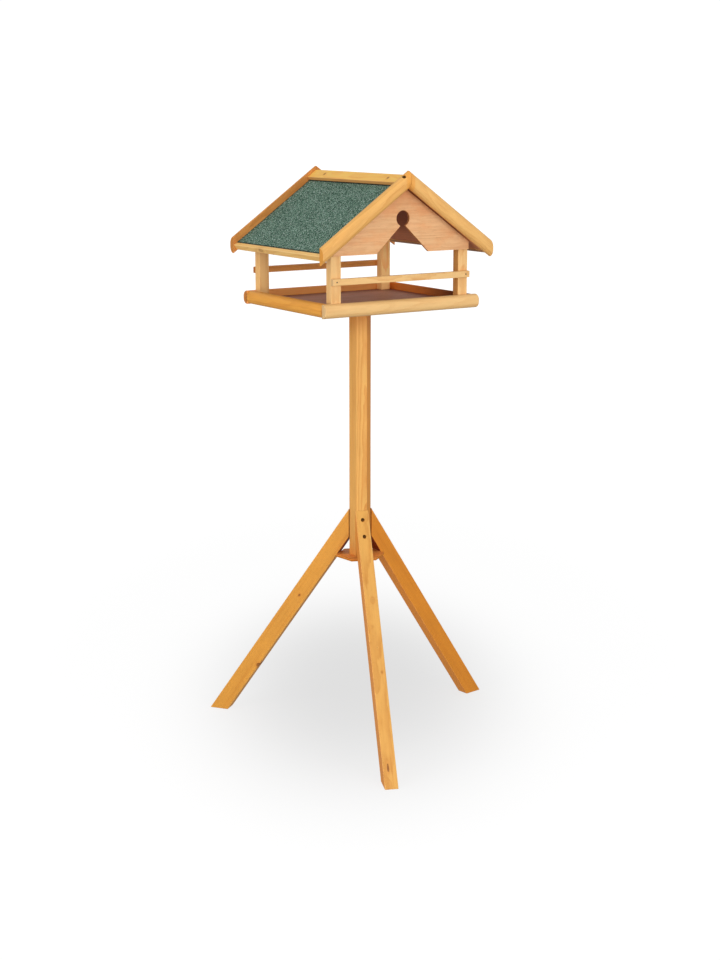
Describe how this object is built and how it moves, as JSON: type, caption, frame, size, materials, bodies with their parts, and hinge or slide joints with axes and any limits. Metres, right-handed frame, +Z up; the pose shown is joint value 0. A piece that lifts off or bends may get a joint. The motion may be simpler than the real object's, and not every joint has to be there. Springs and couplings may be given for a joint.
{
  "type": "bird table",
  "caption": "Free-standing timber bird table: a hexagonal post on splayed legs carries a framed feeding tray under a felted gable roof.",
  "frame": {"origin": "middle of the footprint's box on the ground; the post stands 63 mm towards -X and 22 mm towards +Y of it", "axes": "+Z up, +Y towards the back along the ridge, +X to the right seen from the front"},
  "size_m": [0.5787, 0.621, 1.1999],
  "materials": {
    "stained_wood": "honey-stained softwood, satin",
    "plywood": "stained plywood, satin",
    "roof_felt": "green mineral-surfaced bitumen felt, matt",
    "screw_steel": "dark brown passivated screws and nails"
  },
  "bodies": {
    "root": {"post": "stained_wood", "leg_front": "stained_wood", "leg_left": "stained_wood", "leg_right": "stained_wood", "hub_plate": "plywood", "top_plate": "plywood", "floor_panel": "plywood", "gable_front": "plywood", "gable_back": "plywood", "roof_panel_left": "plywood", "roof_panel_right": "plywood", "roof_felt_left": "roof_felt", "roof_felt_right": "roof_felt", "tray_board_front": "stained_wood", "tray_board_back": "stained_wood", "tray_board_left": "stained_wood", "tray_board_right": "stained_wood", "rail_front": "stained_wood", "rail_back": "stained_wood", "ridge_strip_left": "stained_wood", "ridge_strip_right": "stained_wood", "eaves_batten_left": "stained_wood", "eaves_batten_right": "stained_wood", "corner_post_front_left": "stained_wood", "corner_post_front_right": "stained_wood", "corner_post_back_left": "stained_wood", "corner_post_back_right": "stained_wood", "barge_board_front_left": "stained_wood", "barge_board_front_right": "stained_wood", "barge_board_back_left": "stained_wood", "barge_board_back_right": "stained_wood", "hub_screw": "screw_steel", "post_top_screw": "screw_steel", "barge_screw_front": "screw_steel", "barge_screw_back": "screw_steel", "top_plate_screw_1": "screw_steel", "top_plate_screw_2": "screw_steel", "top_plate_screw_3": "screw_steel", "leg_front_upper_screw": "screw_steel", "leg_front_lower_screw": "screw_steel", "leg_left_upper_screw": "screw_steel", "leg_left_lower_screw": "screw_steel", "leg_right_upper_screw": "screw_steel", "leg_right_lower_screw": "screw_steel", "corner_post_screw_front_left": "screw_steel", "corner_post_screw_front_right": "screw_steel", "corner_post_screw_back_left": "screw_steel", "corner_post_screw_back_right": "screw_steel", "rail_nail_front_left": "screw_steel", "rail_nail_front_right": "screw_steel", "rail_nail_back_left": "screw_steel", "rail_nail_back_right": "screw_steel", "ridge_nail_left_front": "screw_steel", "ridge_nail_left_back": "screw_steel", "ridge_nail_right_front": "screw_steel", "ridge_nail_right_back": "screw_steel"}
  },
  "joints": []
}
